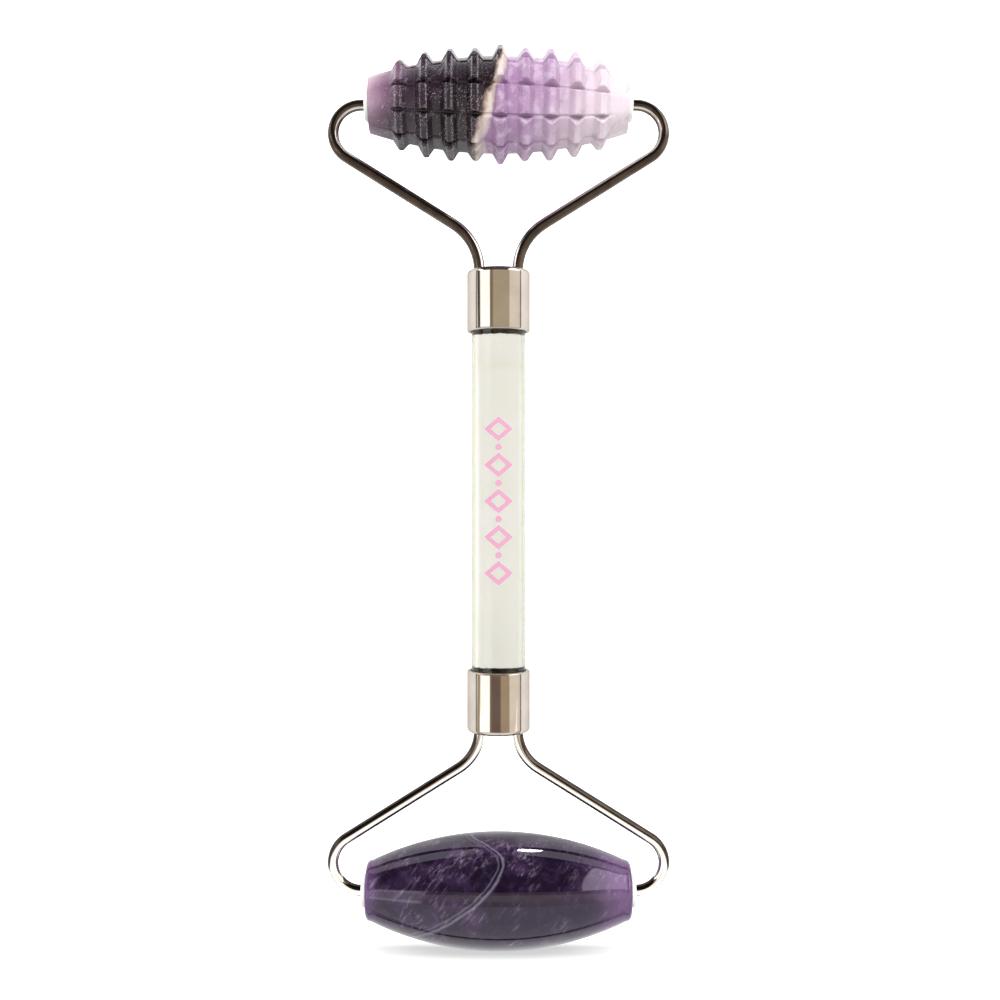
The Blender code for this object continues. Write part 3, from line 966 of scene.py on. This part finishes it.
def rhombus(half_width, half_length, middle, steps=6):
    """A rhombus outline, with enough points on each side to follow the rod's curve."""
    corners = [(half_width, 0.0), (0.0, half_length), (-half_width, 0.0), (0.0, -half_length)]
    points = []
    for start, end in zip(corners, corners[1:] + corners[:1]):
        for i in range(steps):
            share = i / steps
            across = start[0] + (end[0] - start[0]) * share
            along = start[1] + (end[1] - start[1]) * share
            points.append((across, middle + along))
    return points


def ornament():
    """A plain row of rhombuses and dots, printed along the side of the handle that faces up."""
    rod_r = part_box("handle_rod")[1].x
    pitch = (ORNAMENT_LENGTH - RHOMBUS_LENGTH) / (RHOMBUS_COUNT - 1)
    builder = bmesh.new()
    for i in range(RHOMBUS_COUNT):
        middle = (i - (RHOMBUS_COUNT - 1) / 2) * pitch
        outer = rhombus(ORNAMENT_WIDTH / 2, RHOMBUS_LENGTH / 2, middle)
        inner = rhombus(RHOMBUS_LINE * ORNAMENT_WIDTH / 2, RHOMBUS_LINE * RHOMBUS_LENGTH / 2, middle)
        print_on_rod(builder, [outer, inner], rod_r)
    for i in range(RHOMBUS_COUNT - 1):
        middle = (i + 1 - RHOMBUS_COUNT / 2) * pitch
        dot = arc((0.0, middle), DOT_R, 0.0, 2 * math.pi, math.radians(15))[:-1]
        print_on_rod(builder, [dot], rod_r)
    piece("printed_ornament", builder, print_ink(), "frame", [])


# ---------------------------------------------------------------- studio


def table():
    """A large white top just under the lowest point of the roller."""
    builder = bmesh.new()
    corners = [(-TABLE_HALF, -TABLE_HALF), (TABLE_HALF, -TABLE_HALF)]
    corners += [(TABLE_HALF, TABLE_HALF), (-TABLE_HALF, TABLE_HALF)]
    builder.faces.new([builder.verts.new((x, y, 0.0)) for x, y in corners])
    mesh = bpy.data.meshes.new("table")
    builder.to_mesh(mesh)
    builder.free()
    mesh.materials.append(table_white())
    top = bpy.data.objects.new("table", mesh)
    top.location = (0.0, 0.0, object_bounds()[0].z)
    bpy.context.collection.objects.link(top)
    top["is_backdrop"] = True


def lamp(name, shape, size, power, location, target):
    """An area lamp aimed at a point. The camera doesn't see it."""
    light = bpy.data.lights.new(name, "AREA")
    light.shape = shape
    light.size, light.size_y = size
    light.energy = power
    made = bpy.data.objects.new(name, light)
    made.location = location
    made.rotation_euler = (Vector(target) - Vector(location)).to_track_quat("-Z", "Y").to_euler()
    made.visible_camera = False
    made.visible_transmission = False
    bpy.context.collection.objects.link(made)
    return made


def mirror_card(name, shape, size, radiance, location, target):
    """A lit card that shows in shiny surfaces and lights nothing else."""
    area = size[0] * size[1] * (math.pi / 4 if shape == "ELLIPSE" else 1.0)
    card = lamp(name, shape, size, radiance * math.pi * area, location, target)
    card.visible_diffuse = False
    return card


def lamps(smooth_axle):
    """A soft lamp above, a card over the smooth stone's front half, and a small one for its highlight."""
    top = lamp("top_lamp", "DISK", (LAMP_SIZE, LAMP_SIZE), LAMP_POWER, LAMP_PLACE, (0.0, 0.0, 0.0))
    top.visible_glossy = False

    card_low = smooth_axle - CARD_DEPTH
    card_high = smooth_axle + CARD_EDGE
    middle = (0.0, (card_low + card_high) / 2, CARD_HEIGHT)
    size = (CARD_WIDTH, card_high - card_low)
    mirror_card("front_card", "RECTANGLE", size, CARD_RADIANCE, middle, (*middle[:2], 0.0))

    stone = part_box("smooth_roller_stone")[1]
    radius = barrel_radius(HIGHLIGHT_X, stone.x, stone.z, SMOOTH_END_R)
    slope = math.asin(HIGHLIGHT_X / barrel_arc(stone.x, stone.z, SMOOTH_END_R))
    round_stone = Vector((0.0, math.sin(HIGHLIGHT_ANGLE), math.cos(HIGHLIGHT_ANGLE)))
    point = Vector((HIGHLIGHT_X, smooth_axle, 0.0)) + radius * round_stone
    normal = math.cos(slope) * round_stone + Vector((math.sin(slope), 0.0, 0.0))
    to_camera = (Vector((*PICTURE_CENTRE, CAMERA_HEIGHT)) - point).normalized()
    place = point + HIGHLIGHT_REACH * (2 * normal.dot(to_camera) * normal - to_camera)
    card = mirror_card("highlight_card", "ELLIPSE", HIGHLIGHT_CARD, HIGHLIGHT_RADIANCE, place, point)
    only_stone = bpy.data.collections.new("highlighted")
    only_stone.objects.link(bpy.data.objects["smooth_amethyst_roller"])
    card.light_linking.receiver_collection = only_stone


def studio():
    """The room that shows in shiny surfaces: dark, brown overhead, and with panels left and right, all placed
    by direction, in x, y and z from -1 to 1. A plain soft white lights everything else."""
    world = bpy.data.worlds.new("studio")
    bpy.context.scene.world = world
    world.use_nodes = True
    tree = world.node_tree
    coordinates = add(tree, "ShaderNodeTexCoord", {})
    parts = add(tree, "ShaderNodeSeparateXYZ", {0: coordinates.outputs["Generated"]})
    x, y, z = parts.outputs
    overhead = within(tree, y, -0.23, 0.23, 0.015)
    lower_half = rising(tree, y, -0.05, -0.10)

    def both(first, second):
        return maths(tree, "MULTIPLY", first, second)

    brown = mixed(tree, lower_half, (0.66, 0.56, 0.42, 1.0), (0.58, 0.46, 0.32, 1.0))
    room = mixed(tree, overhead, (0.10, 0.09, 0.085, 1.0), brown)
    dark_strip = both(overhead, within(tree, x, -0.50, -0.34, 0.05))
    room = mixed(tree, dark_strip, room, (0.34, 0.27, 0.20, 1.0))
    lower_strip = both(both(overhead, lower_half), within(tree, x, -0.42, 0.14, 0.06))
    room = mixed(tree, lower_strip, room, (0.24, 0.17, 0.15, 1.0))
    beyond = both(rising(tree, y, 0.22, 0.26), rising(tree, y, 0.92, 0.86))
    room = mixed(tree, both(beyond, within(tree, x, 0.57, 0.97, 0.01)), room, (3.4, 3.2, 3.3, 1.0))
    room = mixed(tree, both(beyond, within(tree, x, -0.95, -0.80, 0.01)), room, (2.4, 2.3, 2.4, 1.0))
    right = both(overhead, within(tree, x, 0.64, 0.99, 0.03))
    room = mixed(tree, right, room, (1.15, 1.06, 0.94, 1.0))
    off_middle = spread(tree, rising(tree, maths(tree, "ABSOLUTE", y), 0.11, 0.13), 0.3, 1.0)
    left = both(both(overhead, off_middle), within(tree, x, -0.925, -0.52, 0.02))
    room = mixed(tree, left, room, (2.1, 2.1, 2.05, 1.0))
    left_gap = both(rising(tree, x, -0.93, -0.94), rising(tree, lower_half, 0.6, 0.4))
    room = mixed(tree, left_gap, room, (0.12, 0.10, 0.09, 1.0))
    thin_line = within(tree, x, -0.988, -0.976, 0.002)
    room = mixed(tree, thin_line, room, (1.0, 0.95, 0.88, 1.0))
    room = mixed(tree, rising(tree, y, -0.22, -0.26), room, (0.66, 0.64, 0.62, 1.0))
    room = mixed(tree, rising(tree, z, 0.08, 0.03), room, (0.06, 0.05, 0.05, 1.0))

    path = add(tree, "ShaderNodeLightPath", {})
    soft = mixed(tree, rising(tree, z, -0.2, 1.0), (0.80, 0.80, 0.80, 1.0), (0.95, 0.95, 0.95, 1.0))
    seen = mixed(tree, path.outputs["Is Glossy Ray"], soft, room)
    seen = mixed(tree, path.outputs["Is Camera Ray"], seen, (1.0, 1.0, 1.0, 1.0))
    tree.links.new(seen, tree.nodes["Background"].inputs["Color"])


def camera():
    data = bpy.data.cameras.new("camera")
    data.sensor_width = SENSOR_WIDTH
    data.lens = SENSOR_WIDTH * CAMERA_HEIGHT / PICTURE_WIDTH
    made = bpy.data.objects.new("camera", data)
    made.location = (*PICTURE_CENTRE, CAMERA_HEIGHT)
    bpy.context.collection.objects.link(made)
    bpy.context.scene.camera = made


def colour_management():
    settings = bpy.context.scene.view_settings
    settings.view_transform = "Standard"
    settings.look = "None"


# ---------------------------------------------------------------- the roller


def roller():
    handle_rod()
    ornament()
    plate = plated_metal("nickel_plate", (0.58, 0.53, 0.48, 1.0), (0.53, 0.48, 0.43, 1.0))
    nylon = white_nylon()
    # Painted reflection on the forks: silver and cream are the painted bright strips, brown and dark brown
    # the painted dark reflection on the rest of each wire.
    silver = (0.80, 0.77, 0.74, 1.0)
    cream = (0.97, 0.95, 0.88, 1.0)
    brown = (0.14, 0.11, 0.09, 1.0)
    dark_brown = (0.075, 0.060, 0.050, 1.0)
    upper_wire = fork_metal("brown_plated_wire", silver, brown, "inner_side", 0.5, 0.8)
    lower_wire = fork_metal("bright_plated_wire", cream, dark_brown, "upper_side", -0.66, 0.2)
    axles = {joint["child"]: joint["pos_m"][1] for joint in frame["joints"]}
    for end, wire in (("spiked", upper_wire), ("smooth", lower_wire)):
        axle = axles[f"{end}_roller"]
        stone_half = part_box(f"{end}_roller_stone")[1].x
        ferrule(end, plate)
        fork(end, axle, stone_half, wire)
        for word, side in (("left", -1), ("right", 1)):
            bushing(end, word, side, axle, stone_half, nylon)
    spiked_stone(axles["spiked_roller"])
    smooth_stone(axles["smooth_roller"])
    epoxy = set_epoxy()
    for end in ("spiked", "smooth"):
        frame["nodes"][f"{end}_end_epoxy_plug"].material_slots[0].material = epoxy


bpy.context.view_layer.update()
camera()
colour_management()
roller()
table()
lamps(next(joint["pos_m"][1] for joint in frame["joints"] if joint["child"] == "smooth_roller"))
studio()
